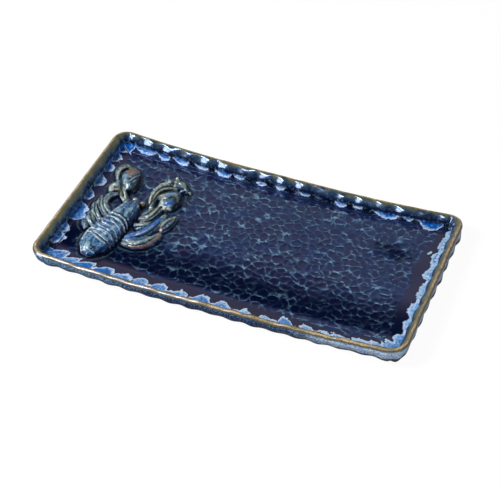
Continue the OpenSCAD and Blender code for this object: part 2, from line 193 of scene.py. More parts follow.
# Strokes worked into the lobster's clay and glaze: kind, half-width in pixels, and the places where they show
# in the photograph, read off an enlargement of it by ZOOM with its corner at ZOOM_CORNER
ZOOM = 14
ZOOM_CORNER = (68, 158)
# Grooves sink the clay and are painted dark as shade, some of them wide painted shadows on and beside the
# claws' flanks; crests raise it and are painted pale, partly as painted highlight
STROKES = [
    # Right claw: finger, horns, crease, palm, and painted shade on and beside its flank
    ("crest_and_painted_highlight", 1.2, (1140, 650), (1148, 570), (1175, 495), (1225, 430), (1295, 380), (1365, 350), (1430, 338)),
    ("groove_and_painted_shade", 0.8, (1160, 640), (1190, 545), (1240, 470), (1310, 415), (1400, 395), (1470, 400)),
    ("crest_and_painted_highlight", 0.9, (1180, 620), (1215, 535), (1265, 470), (1330, 430), (1420, 425), (1520, 440)),
    ("groove_and_painted_shade", 1, (1130, 665), (1200, 590), (1270, 515), (1360, 470), (1450, 465), (1560, 465), (1620, 440)),
    ("crest_and_painted_highlight", 1.2, (1495, 390), (1530, 300), (1580, 370)),
    ("groove_and_painted_shade", 1.0, (1470, 330), (1480, 370)),
    ("groove_and_painted_shade", 1.4, (1680, 400), (1710, 450), (1680, 510)),
    ("sky", 1.6, (1390, 495), (1510, 500)),
    ("cobalt", 2.2, (1370, 650), (1450, 620)),
    ("crest_and_painted_highlight", 1.3, (1250, 540), (1340, 520)),
    ("groove_and_painted_shade", 0.7, (1340, 570), (1420, 560), (1500, 530)),
    ("groove_and_painted_shade", 2.6, (1500, 560), (1520, 640), (1490, 720)),
    ("groove_and_painted_shade", 3.4, (1590, 550), (1590, 650), (1540, 740)),
    # Right arm
    ("crest_and_painted_highlight", 1.2, (1320, 590), (1300, 650), (1240, 720), (1180, 780), (1120, 830)),
    ("crest_and_painted_highlight", 1.3, (1310, 720), (1370, 700), (1430, 720)),
    ("groove_and_painted_shade", 0.8, (1270, 600), (1240, 660), (1190, 720), (1120, 780)),
    ("groove_and_painted_shade", 0.8, (1300, 690), (1250, 750), (1180, 820), (1090, 870), (1000, 880)),
    # Right legs, from the head back
    ("crest_and_painted_highlight", 1.0, (1000, 850), (1090, 860), (1170, 830)),
    ("groove_and_painted_shade", 0.8, (980, 900), (1080, 905), (1180, 880), (1270, 810)),
    ("crest_and_painted_highlight", 0.8, (960, 930), (1050, 935), (1140, 905)),
    ("groove_and_painted_shade", 1.2, (930, 975), (1030, 965)),
    ("cobalt", 2.4, (900, 1080), (1000, 1060), (1100, 1010), (1200, 930), (1280, 860)),
    ("crest_and_painted_highlight", 0.6, (960, 1070), (1040, 1045), (1120, 1000), (1190, 950)),
    ("cobalt", 2.6, (820, 1100), (890, 1120)),
    ("groove_and_painted_shade", 0.9, (900, 1110), (1000, 1100), (1100, 1070), (1200, 1000), (1290, 900)),
    ("crest_and_painted_highlight", 0.9, (830, 1170), (950, 1180), (1080, 1150), (1180, 1090), (1260, 1020)),
    ("groove_and_painted_shade", 0.8, (840, 1215), (960, 1225), (1090, 1190), (1190, 1120)),
    ("rust", 1.4, (800, 1200), (900, 1240), (1020, 1250), (1120, 1215), (1210, 1150), (1285, 1060)),
    ("rust", 1.6, (1275, 1005), (1320, 970)),
    ("crest_and_painted_highlight", 0.8, (1300, 950), (1370, 880), (1450, 830), (1510, 830)),
    ("groove_and_painted_shade", 0.9, (1330, 960), (1400, 900), (1480, 850)),
    ("groove_and_painted_shade", 1.2, (1340, 1015), (1430, 980), (1490, 920), (1520, 850)),
    # Collar, tail bands, tail fan and edge of the carapace
    ("crest_and_painted_highlight", 0.8, (600, 810), (690, 840), (750, 900), (785, 975), (795, 1040)),
    ("groove_and_painted_shade", 0.7, (630, 795), (710, 820), (770, 880), (805, 955), (812, 1020)),
    ("crest_and_painted_highlight", 0.8, (660, 775), (735, 805), (795, 865), (825, 935), (832, 1000)),
    ("groove_and_painted_shade", 0.8, (680, 765), (760, 790), (820, 850), (850, 920), (850, 990)),
    ("crest_and_painted_highlight", 0.6, (540, 865), (640, 900), (710, 975), (735, 1060)),
    ("crest_and_painted_highlight", 0.6, (480, 920), (580, 955), (655, 1030), (680, 1110)),
    ("crest_and_painted_highlight", 0.6, (420, 985), (520, 1015), (595, 1085), (620, 1150)),
    ("crest_and_painted_highlight", 0.8, (320, 1030), (400, 1100), (470, 1160), (515, 1195)),
    ("groove_and_painted_shade", 0.6, (340, 1015), (420, 1085), (490, 1145), (535, 1180)),
    ("crest_and_painted_highlight", 0.6, (370, 1015), (455, 1090), (550, 1160)),
    ("crest_and_painted_highlight", 0.7, (280, 1270), (360, 1335)),
    ("groove_and_painted_shade", 1.0, (330, 1220), (360, 1250)),
    ("crest_and_painted_highlight", 0.7, (620, 755), (720, 680), (830, 600), (900, 560)),
    # Left claw, wrist and arm, with painted shade on the claw's flank
    ("crest_and_painted_highlight", 1.1, (690, 275), (700, 210), (740, 160), (800, 132), (855, 125)),
    ("groove_and_painted_shade", 0.9, (735, 280), (750, 210), (790, 168), (850, 152)),
    ("rust", 2.6, (860, 205), (910, 180), (975, 170)),
    ("sky", 2.0, (790, 260), (830, 240)),
    ("groove_and_painted_shade", 0.6, (860, 290), (920, 250), (1000, 225)),
    ("sky", 1.0, (890, 275), (960, 240), (1010, 235)),
    ("groove_and_painted_shade", 0.6, (880, 330), (950, 290), (1015, 265)),
    ("groove_and_painted_shade", 3.4, (870, 490), (940, 430), (1000, 360), (1030, 290)),
    ("crest_and_painted_highlight", 1.2, (600, 400), (660, 360)),
    ("crest_and_painted_highlight", 1.0, (600, 455), (680, 432), (745, 440)),
    ("rust", 1.2, (715, 455), (735, 485)),
    ("groove_and_painted_shade", 0.9, (745, 420), (760, 490), (790, 560)),
    ("crest_and_painted_highlight", 1.1, (770, 410), (790, 490), (815, 555), (835, 590)),
    ("crest_and_painted_highlight", 0.7, (740, 540), (780, 610)),
    # Left legs, from the head back
    ("crest_and_painted_highlight", 1.0, (545, 615), (565, 570), (615, 530), (690, 505)),
    ("crest_and_painted_highlight", 1.1, (510, 640), (525, 705), (590, 765)),
    ("groove_and_painted_shade", 2.2, (600, 640), (650, 600), (690, 580)),
    ("crest_and_painted_highlight", 0.8, (480, 545), (468, 640), (500, 740), (560, 815)),
    ("groove_and_painted_shade", 0.8, (450, 560), (440, 650), (470, 750), (530, 830)),
    ("crest_and_painted_highlight", 0.8, (410, 600), (395, 680), (425, 785), (490, 880)),
    ("groove_and_painted_shade", 0.8, (380, 640), (370, 710), (400, 800), (455, 890)),
    ("crest_and_painted_highlight", 0.8, (340, 730), (350, 810), (390, 890), (440, 940)),
    ("groove_and_painted_shade", 0.8, (310, 770), (325, 850), (365, 920)),
    ("crest_and_painted_highlight", 0.7, (270, 830), (290, 900), (340, 960)),
    ("crest_and_painted_highlight", 0.8, (200, 1120), (240, 1060), (290, 1000), (335, 970)),
    ("groove_and_painted_shade", 0.7, (180, 1110), (215, 1040), (265, 985)),
    ("crest_and_painted_highlight", 0.8, (170, 1090), (195, 1015), (240, 960)),
]
# How far each kind of stroke raises the clay
STROKE_LIFT = {"crest_and_painted_highlight": 0.55 * MM, "groove_and_painted_shade": -0.9 * MM, "cobalt": 0, "sky": 0, "rust": 0}

# Camera, in degrees, metres and millimetres of lens
CAMERA_AZIMUTH = 21.84
CAMERA_ELEVATION = 42.08
CAMERA_DISTANCE = 1.4204
CAMERA_SIDE = 0.45 * MM
CAMERA_DROP = -12.14 * MM
CAMERA_LENS = 104.2
CAMERA_SENSOR = 36.0
PHOTO_SIZE = 500

# Light of the studio, as spans for Nodes.between: of its walls by how far a direction points to the bright
# side, and of their lower part and the dark ceiling above them by how far it points up
BRIGHT_SIDE = (-0.6, 0.8, 0)
WALL_LIGHT = (-0.4, 0.3, 0.36, 1.0)
LOW_LIGHT = (0.6, 0.66, 0.5, 1.0)
CEILING_LIGHT = (0.674, 0.692, 1.0, 0.03)
# Table: half its side, its grey, its light, and its painted shadow beneath the tray in what the glazes
# mirror, with how far out that reaches
TABLE_HALF = 4.0
TABLE_GREY = (0.08, 0.08, 0.08, 1.0)
TABLE_LIGHT = 0.95
TABLE_SHADE = 0.03
TABLE_SHADE_REACH = 30 * MM
# Lamps that face the tray: name, azimuth and elevation in degrees, size in metres, power in watts, and True
# for gloss or False for matt light
LAMPS = [
    ("key_light", -36, 50, 0.5, 22, False),
    ("fill_light", 45, 7, 0.25, 7, False),
    ("softbox_face", -50, 25, 0.8, 48, True),
    ("strip_face", -38, 50, 0.25, 18, True),
]
# How far they are from the middle of the tray, in metres
LAMP_DISTANCE = 1.6

BODY_NODES = ["carapace", "telson", "uropod_left", "uropod_right"]
BODY_NODES += [f"tail_segment_{number}" for number in range(1, 7)]
CLAW_NODES = ["arm_left", "wrist_left", "palm_left", "finger_left", "arm_right", "palm_right", "finger_right"]
LEG_NODES = [f"leg_{side}_{number}" for side in ("left", "right") for number in range(1, 5)]
LEG_NODES += ["leg_left_4_tip", "leg_right_4_tip"]
EYE_NODES = ["eye_left", "eye_right"]
RIM_NODES = ["rim_front", "rim_right", "rim_back", "rim_left"]


def colour(red, green, blue):
    """A colour as seen on screen, from 0 to 255, as the light values that a shader takes."""
    values = []
    for part in (red, green, blue):
        share = part / 255
        values.append(share / 12.92 if share <= 0.04045 else ((share + 0.055) / 1.055) ** 2.4)
    return (*values, 1.0)


WHITE = (1.0, 1.0, 1.0, 1.0)
# Floor
NAVY = colour(1, 8, 40)
SLATE = colour(21, 34, 79)
PURPLE = colour(36, 30, 56)
BAND_PURPLE = colour(44, 34, 54)
DISH_PURPLE = colour(25, 22, 56)
HALO_BLUE = colour(42, 64, 102)
# Pale teal of the glaze broken over ridges, laid brightest as a painted glint where they face the camera
TEAL = colour(124, 168, 194)
# Painted shade in the crease where the lobster meets the floor
PAINTED_CONTACT_SHADE = colour(6, 9, 20)
FLANGE_TEAL = colour(66, 96, 96)
CLAY = colour(168, 132, 98)
# Drips
COBALT = colour(10, 104, 190)
SKY_BLUE = colour(80, 152, 212)
PALE_BLUE = colour(146, 196, 234)
FOAM = colour(200, 220, 248)
# Crystals in pale blue and in cobalt: tint, and span in the foam
PALE_CRYSTALS = [(colour(50, 100, 168), (0.38, 0.5, 0.9, 0)), (colour(206, 226, 250), (0.51, 0.6))]
COBALT_CRYSTALS = [(colour(6, 58, 138), (0.38, 0.48, 0.8, 0)), (colour(120, 174, 236), (0.55, 0.68))]
# Lip and walls
OLIVE = colour(104, 102, 72)
HONEY = colour(202, 174, 132)
LIP_SPECK = colour(78, 62, 42)
LIP_SHADE = colour(92, 88, 60)
# Dark navy at the foot of the walls: painted shade in the crease at the inner foot, and darker towards the
# outer foot
WALL_FOOT = colour(5, 10, 32)
WALL_CLOUD = colour(96, 132, 164)
UNDER_LIP = colour(6, 14, 38)
# Tones of the inner wall by distance from the lip in millimetres, down to the painted shade at its foot
WALL_TONES = [
    (1, OLIVE), (3.5, colour(76, 88, 80)), (6, colour(34, 58, 88)), (9, colour(8, 22, 56)), (13, WALL_FOOT),
]
# Bands of the outer wall from left to right: ground, crystals, and the span of the crystals in their grain
OUTER_BANDS = [
    (colour(10, 56, 122), colour(150, 204, 248), (0.42, 0.6)),
    (colour(2, 16, 62), colour(84, 146, 224), (0.5, 0.64)),
    (colour(64, 134, 226), colour(216, 238, 255), (0.36, 0.54)),
]
# Lobster
STROKE_TINTS = {"cobalt": colour(8, 96, 190), "sky": colour(124, 164, 206), "rust": colour(140, 92, 46)}
# Painted shade in the lobster's hollows and grooves
HOLLOW_SHADE = colour(4, 8, 20)
# Its glazes: tones from dark to pale, tone of the edges, wash, and how the clouds are drawn out
RELIEF_GLAZES = {
    "body_glaze": (
        [(3, 12, 36), (9, 44, 98), (46, 106, 160), (146, 178, 188)],
        (176, 202, 218), (8, 26, 62), (1, 0.4, 1),
    ),
    "claw_glaze": (
        [(3, 10, 24), (20, 56, 90), (84, 116, 126), (168, 174, 148)],
        (188, 192, 172), (34, 74, 118), (1, 1, 1),
    ),
    "leg_glaze": (
        [(3, 11, 30), (14, 60, 112), (70, 112, 130), (156, 170, 152)],
        (176, 188, 178), (26, 76, 138), (1, 1, 1),
    ),
    "eye_glaze": (
        [(50, 38, 30), (120, 100, 78), (180, 164, 136), (214, 202, 178)],
        (226, 220, 204), (70, 54, 42), (1, 1, 1),
    ),
}
# Tints of what the glazes mirror
BLUE_GLOSS = (0.33, 0.52, 1.0, 1.0)
RIM_GLOSS = (0.34, 0.46, 0.72, 1.0)
RELIEF_GLOSS = (0.85, 0.95, 1.0, 1.0)


# Node trees


class Nodes:
    """A node tree, with short ways to add nodes to it."""

    def __init__(self, tree):
        self.tree = tree

    def fill(self, node, values):
        """Puts values or links into the inputs of a node, by number or name."""
        for key, value in values.items():
            if isinstance(value, bpy.types.NodeSocket):
                self.tree.links.new(value, node.inputs[key])
            else:
                node.inputs[key].default_value = value

    def node(self, kind, values=None, **settings):
        made = self.tree.nodes.new(kind)
        for key, value in settings.items():
            setattr(made, key, value)
        self.fill(made, values or {})
        return made

    def axis(self, vector, name):
        return self.node("ShaderNodeSeparateXYZ", {0: vector}).outputs[name]

    def math(self, operation, first, second=0.0):
        return self.node("ShaderNodeMath", {0: first, 1: second}, operation=operation).outputs[0]

    def product(self, first, *others):
        for other in others:
            first = self.math("MULTIPLY", first, other)
        return first

    def swing(self, cloud, amount):
        """Values that swing about zero by an amount, from cloudy ones that swing about a half."""
        return self.product(self.math("SUBTRACT", cloud, 0.5), amount)

    def between(self, value, low, high, start=0.0, end=1.0):
        """Value going smoothly from start to end while the input goes from low to high."""
        values = dict(enumerate((value, low, high, start, end)))
        return self.node("ShaderNodeMapRange", values, interpolation_type="SMOOTHSTEP").outputs[0]


class Shader(Nodes):
    """The node tree of a material."""

    def __init__(self, name):
        self.material = bpy.data.materials.new(name)
        self.material.use_nodes = True
        super().__init__(self.material.node_tree)
        self.surface = self.tree.nodes["Principled BSDF"]

    def attribute(self, name):
        return self.node("ShaderNodeAttribute", attribute_name=name).outputs["Fac"]

    def place(self):
        return self.node("ShaderNodeTexCoord").outputs["Object"]

    def in_mm(self, length):
        return self.product(length, 1 / MM)

    def noise(self, size, vector=None, detail=3.0, rough=0.55):
        """Cloudy values from 0 to 1 whose blobs are about as large as size, in metres."""
        values = {"Vector": vector or self.place(), "Scale": 1 / size, "Detail": detail, "Roughness": rough}
        return self.node("ShaderNodeTexNoise", values).outputs["Fac"]

    def clouds(self, size, low, high, start=0, end=1, detail=3.0):
        """Patches of a noise, as a value that goes from start to end."""
        return self.between(self.noise(size, detail=detail), low, high, start, end)

    def mix(self, share, first, second):
        return self.node("ShaderNodeMix", {"Factor": share, 6: first, 7: second}, data_type="RGBA").outputs[2]

    def cover(self, base, tint, value, span):
        """Covers one colour with another as a value goes through a span."""
        return self.mix(self.between(value, *span), base, tint)

    def ramp(self, value, stops):
        """Colours laid along a value: stops are (value, colour)."""
        low, high = stops[0][0], stops[-1][0]
        spread = self.node("ShaderNodeMapRange", dict(enumerate((value, low, high, 0.0, 1.0))))
        made = self.node("ShaderNodeValToRGB", {"Fac": spread.outputs[0]})
        elements = made.color_ramp.elements
        while len(elements) < len(stops):
            elements.new(1.0)
        for element, (at, tint) in zip(elements, stops):
            element.position = (at - low) / (high - low)
            element.color = tint
        return made.outputs["Color"]

    def bump(self, height, depth):
        made = self.node("ShaderNodeBump", {"Distance": depth, "Height": height})
        self.fill(self.surface, {"Normal": made.outputs["Normal"]})

    def finish(self, base, roughness, gloss, tint=WHITE):
        self.fill(self.surface, {"Base Color": base, "Roughness": roughness})
        self.fill(self.surface, {"Specular Tint": tint, "Specular IOR Level": gloss})
        return self.material


# Tray


def rise_at(x):
    """Lift of the tray towards its two ends."""
    beyond = np.maximum(0, np.abs(2 * x / TRAY_LENGTH) - FLAT_SHARE) / (1 - FLAT_SHARE)
    return END_RISE * beyond**2


def rim_stations():
    """Places round the rim: side number, share of its straight run from -1 to 1, angle round the corner."""
    rows = []
    for side in range(4):
        run = (TRAY_LENGTH if side % 2 == 0 else TRAY_WIDTH) - 2 * CORNER_RADIUS
        steps = round(run / STATION_STEP)
        rows += [(side, 2 * step / steps - 1, 0) for step in range(steps)]
        rows += [(side, 1, math.pi / 2 * step / CORNER_STEPS) for step in range(CORNER_STEPS)]
    return np.array(rows, float).T


SIDE, SHARE, ANGLE = rim_stations()


def outline(inset):
    """Plan points of the rim's outline, set in from the lip by one distance or by one for each station."""
    inset = np.broadcast_to(inset, SIDE.shape)
    along_x = SIDE % 2 == 0
    along = np.where(along_x, TRAY_LENGTH, TRAY_WIDTH) / 2 - inset
    depth = np.where(along_x, TRAY_WIDTH, TRAY_LENGTH) / 2 - inset
    radius = np.minimum(np.maximum(CORNER_RADIUS - inset, INNER_RADIUS), TRAY_WIDTH / 2 - inset)
    x = (along - radius) * SHARE + radius * np.sin(ANGLE)
    y = radius * (1 - np.cos(ANGLE)) - depth
    quarter = SIDE * math.pi / 2
    return np.stack([x * np.cos(quarter) - y * np.sin(quarter), x * np.sin(quarter) + y * np.cos(quarter)], 1)


def smooth_rows(rows, steps):
    """A smooth curve through control rows, with so many steps between two of them."""
    rows = np.array(rows)
    padded = np.concatenate([rows[:1], rows, rows[-1:]])
    out = []
    for a, b, c, d in zip(padded, padded[1:], padded[2:], padded[3:]):
        for step in range(steps):
            f = step / steps
            out.append(b + 0.5 * f * (c - a + f * (2 * a - 5 * b + 4 * c - d + f * (3 * b - a - 3 * c + d))))
    out.append(rows[-1])
    return np.array(out)


def foot_inset(lip):
    """Inset of the outer foot: greater towards the near side, less at the corners."""
    near = (0.5 - lip[:, 1] / TRAY_WIDTH) ** 2
    corner = (2 * lip[:, 0] / TRAY_LENGTH) ** 8
    return FAR_FOOT_INSET + (NEAR_FOOT_INSET - FAR_FOOT_INSET) * near * (1 - CORNER_SHARE * corner)


def wall_section(foot):
    """Control rows of the wall from the floor's edge over the lip to the foot: inset, height, pinch share."""
    wall = RIM_HEIGHT - FLOOR_THICKNESS
    cove = LIP_WIDTH + 3.5 * MM
    rows = [
        (RIM_REACH, FLOOR_THICKNESS, 0),
        ((RIM_REACH + cove) / 2, FLOOR_THICKNESS + 0.1 * MM, 0),
        (cove, FLOOR_THICKNESS + 0.25 * MM, -0.2),
        (cove - 0.3 * MM, FLOOR_THICKNESS + 1.6 * MM, -0.4),
        (LIP_WIDTH + 3.3 * MM, FLOOR_THICKNESS + 0.5 * wall, -0.6),
        (LIP_WIDTH + 1.1 * MM, RIM_HEIGHT - 3.4 * MM, -0.8),
        (LIP_WIDTH - 0.8 * MM, RIM_HEIGHT - 0.7 * MM, -0.15),
        (LIP_WIDTH / 2, RIM_HEIGHT, 0),
        (1.1 * MM, RIM_HEIGHT - 1.2 * MM, 0.05),
        (0, RIM_HEIGHT - 3 * MM, 0.1),
        (0.8 * MM, RIM_HEIGHT - 6 * MM, 0.3),
        (0.55 * foot, 0.5 * FLOOR_THICKNESS + 3.5 * MM, 0.8),
        (foot - 0.6 * MM, RIM_LIFT + 2.2 * MM, 1),
        (foot + 0.8 * MM, RIM_LIFT, 0.9),
        (RIM_REACH, RIM_LIFT, 0),
    ]
    return [[np.broadcast_to(value, foot.shape) for value in row] for row in rows]


# Row of that section which is the crown of the lip
LIP_ROW = 7


def pinch_bulge():
    """How far the wall bulges at each station: most half-way between two pinches."""
    after = ANGLE > math.pi / 4
    side = (SIDE + after) % 4
    length = np.where(side % 2 == 0, TRAY_LENGTH, TRAY_WIDTH)
    straight = np.round((length - 2 * CORNER_RADIUS) / RIM_STEP)
    corner = RIM_CORNER_STEPS * ANGLE / (math.pi / 4)
    before_end = RIM_CORNER_STEPS + straight * (SHARE + 1) / 2 + corner
    place = np.where(after, corner - RIM_CORNER_STEPS, before_end)
    turns = np.round(length / PINCH_SPACING) * place / (straight + 2 * RIM_CORNER_STEPS)
    return PINCH_DEPTH * (0.5 + 0.5 * np.cos(2 * math.pi * turns))


def waves(rows, turn):
    """Sum of waves round the rim."""
    return sum(share * np.sin(turns * turn + phase) for turns, share, phase in rows)


def wall_rings():
    """Rings of the rim from the floor's edge over the lip to the foot, and how far they are from the lip."""
    lip = outline(0)
    steps = np.linalg.norm(np.roll(lip, -1, 0) - lip, axis=1)
    turn = 2 * math.pi * np.cumsum(steps) / steps.sum()
    bulge = pinch_bulge() * (1 - PINCH_UNEVEN + PINCH_UNEVEN * waves(PINCH_WAVES, turn))
    waver = LIP_WAVER * waves(LIP_WAVES, turn)
    lean = waver - RIM_TWIST * (2 * lip[:, 0] / TRAY_LENGTH) * (2 * lip[:, 1] / TRAY_WIDTH)
    rings = []
    for inset, height, pinch in smooth_rows(wall_section(foot_inset(lip)), WALL_STEPS):
        climb = np.maximum(0, height - FLOOR_THICKNESS) / (RIM_HEIGHT - FLOOR_THICKNESS)
        plan = outline(inset - bulge * pinch + LIP_SWAY * waver * climb)
        rings.append(np.column_stack([plan, height + lean * climb + rise_at(plan[:, 0])]))
    rings = np.array(rings)
    run = np.linalg.norm(np.diff(rings, axis=0), axis=2)
    section = np.concatenate([np.zeros((1, len(lip))), np.cumsum(run, axis=0)])
    return rings, section[LIP_ROW * WALL_STEPS] - section


def search_tree(places):
    """Search tree of points in plan."""
    tree = kdtree.KDTree(len(places))
    for index, (x, y) in enumerate(places):
        tree.insert((x, y, 0), index)
    tree.balance()
    return tree


def hammer_marks():
    """Middles of the hammer marks on the floor, on an uneven honeycomb."""
    rng = np.random.default_rng(MARK_SEED)
    places = []
    for row in range(MARK_ROWS):
        for column in range(MARK_COLUMNS):
            wobble = rng.normal(0, MARK_JITTER * MARK_SPACING, 2)
            x = (column + 0.5 * (row % 2)) * MARK_SPACING - TRAY_LENGTH / 2 + wobble[0]
            y = row * MARK_ROW_STEP - TRAY_WIDTH / 2 + wobble[1]
            places.append((x, y))
    return search_tree(places)


def hammered(plan, band_gap, relief_gap):
    """Height that the hammer marks add to the floor, and the values that its glaze follows."""
    marks = hammer_marks()
    depth, edge, tone, across = np.zeros((4, len(plan)))
    tones = np.random.default_rng(MARK_SEED).random(MARK_COUNT)
    for index, (x, y) in enumerate(plan):
        places = [Vector((x, y, layer)) / MARK_BEND_SIZE for layer in MARK_BEND_LAYERS]
        bend_x, bend_y = (MARK_BEND * noise.noise(place) for place in places)
        (middle, mark, first), (_, _, second) = marks.find_n((x + bend_x, y + bend_y, 0), 2)
        tone[index] = tones[mark]
        # How far across the view the ridge runs here; the glaze lays a painted glint by it
        across[index] = ((y + bend_y - middle.y) / max(first, DISH_MIDDLE)) ** 2
        edge[index] = max(0, min((second - first) / 2, MARK_RADIUS - first))
        depth[index] = min(1, (first / DISH_RADIUS) ** 2)
    wall_fade = smooth_step(band_gap, 0, SMOOTH_FADE)
    relief_fade = RELIEF_MARKS + (1 - RELIEF_MARKS) * np.clip(relief_gap / RELIEF_FADE, 0, 1)
    fade = wall_fade * relief_fade
    ridge = np.exp(-((edge / RIDGE_WIDTH) ** 2))
    values = {"ridge_gap": edge, "marked": fade, "tone": tone, "across": across}
    return fade * (MARK_DEPTH * (depth - 0.5) + RIDGE_HEIGHT * ridge), values


def pressed_up(relief_gap):
    """Height of the clay pressed up against the lobster, by distance from it."""
    fillet = FILLET_HEIGHT * np.exp(-((relief_gap / FILLET_REACH) ** 2))
    flange = FLANGE_HEIGHT * np.exp(-(((relief_gap - FLANGE_GAP) / FLANGE_WIDTH) ** 2))
    return fillet + flange


def smooth_step(value, start, end):
    share = np.clip((value - start) / (end - start), 0, 1)
    return share * share * (3 - 2 * share)


def gutter(y):
    """Drop of the floor along the front, where the slab sagged in front of the wall."""
    foot = RIM_REACH - TRAY_WIDTH / 2
    slope = np.clip((y - GUTTER_START) / (GUTTER_END - GUTTER_START), 0, 1) ** GUTTER_BEND
    return GUTTER_DEPTH * slope * smooth_step(y, foot, GUTTER_END - GUTTER_BOTTOM)


def sagged(plan):
    """Drop of the floor where the slab sagged in the kiln."""
    drop = np.zeros(len(plan))
    for x, y, radius, depth in SAGS:
        drop += depth * np.exp(-(np.linalg.norm(plan - (x, y), axis=1) / radius) ** 2)
    return drop


def distance_to(tree, points):
    return np.array([tree.find((x, y, 0))[2] for x, y in points])


def side_places():
    """Number of the side that each station belongs to, and its place along that side in millimetres."""
    side = (SIDE + (ANGLE > math.pi / 4)).astype(int) % 4
    lip = outline(0) / MM
    return side, np.where(side % 2 == 0, lip[:, 0], lip[:, 1])


def smooth_band():
    """Width of the smooth band beside the wall at each station, evened out round the corners."""
    side, along = side_places()
    start, end = np.array([SMOOTH_BAND[name] for name in SIDES])[side].T * MM
    length = np.where(side % 2 == 0, TRAY_LENGTH, TRAY_WIDTH)
    width = start + (end - start) * (along * MM / length + 0.5)
    reach = 2 * CORNER_STEPS
    padded = np.concatenate([width[-reach:], width, width[:reach]])
    return np.convolve(padded, np.full(2 * reach + 1, 1 / (2 * reach + 1)), "valid")


def drip_fronts():
    """How far the glaze has run down at each station, and how much cobalt shows in it."""
    side, along = side_places()
    front = np.zeros(len(side))
    cobalt = np.zeros(len(side))
    for index, name in enumerate(SIDES):
        lean, tail, start, between_drips = DRIP_HANG[name]
        front[side == index] = between_drips
        for middle, half, tip, share in DRIPS[name]:
            place = (along - middle) / half - lean
            place /= np.where(place > 0, 1 - lean, 1 + lean)
            swell = np.maximum(0, 1 - place**2) ** np.where(place > 0, DRIP_ROUND, tail)
            lobe = start + (tip - start) * swell
            longer = (side == index) & (swell > 0) & (lobe > front)
            front[longer] = lobe[longer]
            cobalt[longer] = share
    return front * MM, cobalt


def with_drops(section, front, cobalt):
    """Adds the lone drops to how far the glaze has run, and to its cobalt, for every point of the rings."""
    side, along = side_places()
    front = np.broadcast_to(front, section.shape).copy()
    cobalt = np.broadcast_to(cobalt, section.shape).copy()
    for name, middle, place, half_width, half_length, share in DROPS:
        away = np.hypot((along - middle) / half_width, (section / MM - place) / half_length)
        inside = (side == SIDES.index(name)) & (away < DROP_REACH)
        front[inside] = (section + (1 - away) * half_length * DROP_STEEPNESS * MM)[inside]
        cobalt[inside] = share
    return front, cobalt


def floor_rings(edge_section, relief):
    """Rings of the floor from its middle line out to the wall, with the values that its glaze follows."""
    count = round((TRAY_WIDTH / 2 - RIM_REACH) / FLOOR_STEP)
    insets = np.linspace(TRAY_WIDTH / 2, RIM_REACH, count + 1)
    plan = np.array([outline(inset) for inset in insets])
    gap = np.repeat(insets - RIM_REACH, len(SIDE)).reshape(plan.shape[:2])
    flat = plan.reshape(-1, 2)
    relief_gap = distance_to(relief, flat)
    uneven = np.array([noise.noise(Vector((x, y, 0)) / BAND_WAVE) for x, y in flat])
    band_gap = (gap - smooth_band()).ravel() + BAND_WAVER * uneven
    marks, values = hammered(flat, band_gap, relief_gap)
    wall_share = np.clip(gap.ravel() / FILLET_FADE, 0, 1)
    height = FLOOR_THICKNESS + rise_at(flat[:, 0]) + marks + pressed_up(relief_gap) * wall_share
    points = np.column_stack([flat, height - gutter(flat[:, 1]) - sagged(flat)])
    rings = points.reshape(*plan.shape[:2], 3)
    seen = seen_at(points)
    # Painted shade spots beside the claws and at the right
    painted_shade_spot = np.zeros(len(flat))
    for x, y, radius in PAINTED_SHADE_SPOTS:
        painted_shade_spot = np.maximum(painted_shade_spot, np.exp(-(np.linalg.norm(seen - (x, y), axis=1) / radius) ** 2))
    values |= {"relief_gap": relief_gap, "painted_shade_spot": painted_shade_spot}
    values = {key: field.reshape(gap.shape) for key, field in values.items()}
    values["section"] = gap + edge_section
    return rings, values


def underside_rings():
    insets = np.linspace(RIM_REACH, TRAY_WIDTH / 2, UNDERSIDE_RINGS)
    plans = [outline(inset) for inset in insets]
    return np.array([np.column_stack([plan, rise_at(plan[:, 0])]) for plan in plans])


def add_values(mesh, values):
    """Puts named values on the points of a mesh."""
    for key, field in values.items():
        layer = mesh.attributes.new(key, "FLOAT", "POINT")
        layer.data.foreach_set("value", field.astype(np.float32).ravel())


def ring_mesh(name, rings, values, closed=False):
    """A mesh over rings of points, with values on its points, welded where points meet."""
    count, size = rings.shape[:2]
    faces = []
    for ring in range(count if closed else count - 1):
        here = ring * size
        there = (ring + 1) % count * size
        for station in range(size):
            ahead = (station + 1) % size
            faces.append((here + station, there + station, there + ahead, here + ahead))
    mesh = bpy.data.meshes.new(name)
    mesh.from_pydata(rings.reshape(-1, 3).tolist(), [], faces)
    add_values(mesh, values)
    edit = bmesh.new()
    edit.from_mesh(mesh)
    bmesh.ops.remove_doubles(edit, verts=edit.verts, dist=WELD_GAP)
    bmesh.ops.recalc_face_normals(edit, faces=edit.faces)
    edit.to_mesh(mesh)
    edit.free()
    mesh.shade_smooth()
    return mesh


def add_object(name, data):
    made = bpy.data.objects.new(name, data)
    bpy.context.scene.collection.objects.link(made)
    return made


def add_piece(mesh, material, nodes):
    """Puts a mesh in the scene as the piece that stands for these CAD nodes."""
    piece = add_object(mesh.name, mesh)
    mesh.materials.clear()
    mesh.materials.append(material)
    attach(piece, BODY)
    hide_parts(*nodes)


